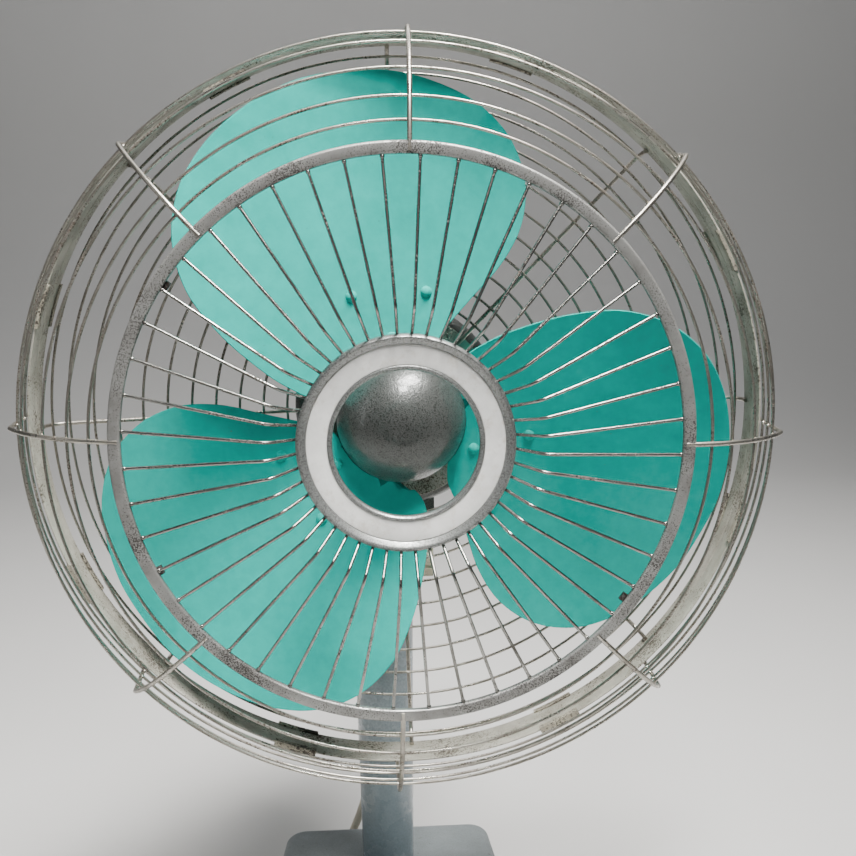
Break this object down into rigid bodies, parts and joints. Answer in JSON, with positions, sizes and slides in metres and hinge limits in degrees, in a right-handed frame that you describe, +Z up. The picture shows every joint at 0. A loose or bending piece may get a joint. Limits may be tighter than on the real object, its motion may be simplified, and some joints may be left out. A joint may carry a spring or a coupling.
{
  "type": "desk fan",
  "caption": "Desk fan with riveted teal sheet-metal blades, a bright wire guard, a grey column and a push-button base.",
  "frame": {"origin": "centre of the fan's own bounding box in plan, on the table under the feet", "axes": "+Z up along the column, -Y the way the air leaves, +X to the right as seen from the front"},
  "size_m": [0.4232, 0.2862, 0.5766],
  "materials": {
    "teal_paint": "gloss enamel",
    "hammertone": "hammered gloss",
    "silver_hammertone": "hammered silver",
    "blue_grey_paint": "semi gloss",
    "base_paint": "satin",
    "wire_chrome": "worn",
    "aged_steel": "corroded",
    "hoop_paint": "chipped cream grey",
    "steel": "machined",
    "cast_iron": "raw",
    "bronze": "oil-impregnated bronze",
    "copper": "enamelled copper winding",
    "black_plastic": "moulded",
    "red_plastic": "moulded",
    "ivory_plastic": "aged ivory",
    "pearl_plate": "pearl white",
    "ivory_cord": "ivory PVC jacket",
    "foot_rubber": "moulded rubber"
  },
  "bodies": {
    "stand": {"base_shell": "base_paint", "base_plate": "steel", "base_feet": "foot_rubber", "base_screws": "steel", "ballast": "cast_iron", "switch_block": "black_plastic", "button_bezel": "wire_chrome", "column_foot": "steel", "column": "blue_grey_paint", "neck_socket": "blue_grey_paint", "tilt_pin": "steel", "cord_gland": "ivory_cord", "cord_lead": "ivory_cord", "cord_coil": "ivory_cord", "cord_plug": "ivory_cord"},
    "yoke": {"tilt_yoke": "blue_grey_paint", "pivot_post": "steel", "thrust_washer": "bronze"},
    "clamp_knob": {"tilt_knob": "ivory_plastic"},
    "drag_link": {"oscillation_link": "steel"},
    "head": {"swivel_bracket": "hammertone", "motor_front_shell": "hammertone", "motor_rear_cover": "hammertone", "stator_core": "cast_iron", "stator_windings": "copper", "front_bearing": "bronze", "rear_bearing": "bronze", "rear_bearing_bracket": "steel", "gear_case": "steel", "gear_case_lid": "steel", "rear_guard_mount": "aged_steel", "rear_guard_screws": "steel", "rear_guard_ribs": "wire_chrome", "rear_guard_wires": "wire_chrome", "rear_hoop": "hoop_paint", "front_hoop": "hoop_paint", "front_guard_ribs": "wire_chrome", "front_guard_wires": "wire_chrome", "flat_ring": "aged_steel", "front_spokes": "wire_chrome", "badge_ring": "silver_hammertone", "badge_inlay": "pearl_plate", "guard_clips": "aged_steel"},
    "rotor": {"motor_shaft": "steel", "rotor_core": "cast_iron", "blade_spider": "aged_steel", "spider_set_screw": "steel", "hub_dome": "hammertone", "blade_1": "teal_paint", "blade_2": "teal_paint", "blade_3": "teal_paint", "blade_rivets": "teal_paint"},
    "worm_wheel": {"worm_wheel": "bronze"},
    "crank_gear": {"crank_gear": "steel"},
    "clutch_knob": {"oscillation_knob": "black_plastic"},
    "off_button": {"button_off": "red_plastic"},
    "low_button": {"button_low": "ivory_plastic"},
    "medium_button": {"button_medium": "ivory_plastic"},
    "high_button": {"button_high": "ivory_plastic"}
  },
  "joints": [
    {"name": "tilt", "type": "hinge", "parent": "stand", "child": "yoke", "pos_m": [-0.012, 0.0391, 0.262], "axis": [1, 0, 0], "range_deg": [-25, 10]},
    {"name": "tilt_clamp", "type": "hinge", "parent": "stand", "child": "clamp_knob", "pos_m": [0.008, 0.0391, 0.262], "axis": [1, 0, 0], "range_deg": [-90, 0]},
    {"name": "oscillation", "type": "hinge", "parent": "yoke", "child": "head", "pos_m": [-0.012, 0.0391, 0.288], "axis": [0, 0, 1], "range_deg": [-40, 40]},
    {"name": "link_pivot", "type": "hinge", "parent": "yoke", "child": "drag_link", "pos_m": [-0.04, 0.0391, 0.288], "axis": [0, 0, 1], "range_deg": [-15, 15]},
    {"name": "fan_spin", "type": "hinge", "parent": "head", "child": "rotor", "pos_m": [0, 0.0371, 0.365], "axis": [0, 1, 0], "continuous": true},
    {"name": "worm_wheel_spin", "type": "hinge", "parent": "head", "child": "worm_wheel", "pos_m": [0.0152, 0.0991, 0.365], "axis": [0, 0, 1], "continuous": true},
    {"name": "crank_spin", "type": "hinge", "parent": "head", "child": "crank_gear", "pos_m": [-0.012, 0.1031, 0.335], "axis": [0, 0, 1], "continuous": true},
    {"name": "oscillation_clutch", "type": "slide", "parent": "head", "child": "clutch_knob", "axis": [0, 0, 1], "range_m": [0, 0.006]},
    {"name": "press_off", "type": "slide", "parent": "stand", "child": "off_button", "axis": [0, 0, -1], "range_m": [0, 0.005], "stiffness_N_per_m": 250, "springref_m": -0.001},
    {"name": "press_low", "type": "slide", "parent": "stand", "child": "low_button", "axis": [0, 0, -1], "range_m": [0, 0.005], "stiffness_N_per_m": 250, "springref_m": -0.001},
    {"name": "press_medium", "type": "slide", "parent": "stand", "child": "medium_button", "axis": [0, 0, -1], "range_m": [0, 0.005], "stiffness_N_per_m": 250, "springref_m": -0.001},
    {"name": "press_high", "type": "slide", "parent": "stand", "child": "high_button", "axis": [0, 0, -1], "range_m": [0, 0.005], "stiffness_N_per_m": 250, "springref_m": -0.001}
  ],
  "couplings": [
    {"joint": "worm_wheel_spin", "follows": "fan_spin", "ratio": 0.033333},
    {"joint": "crank_spin", "follows": "fan_spin", "ratio": -0.008333}
  ]
}
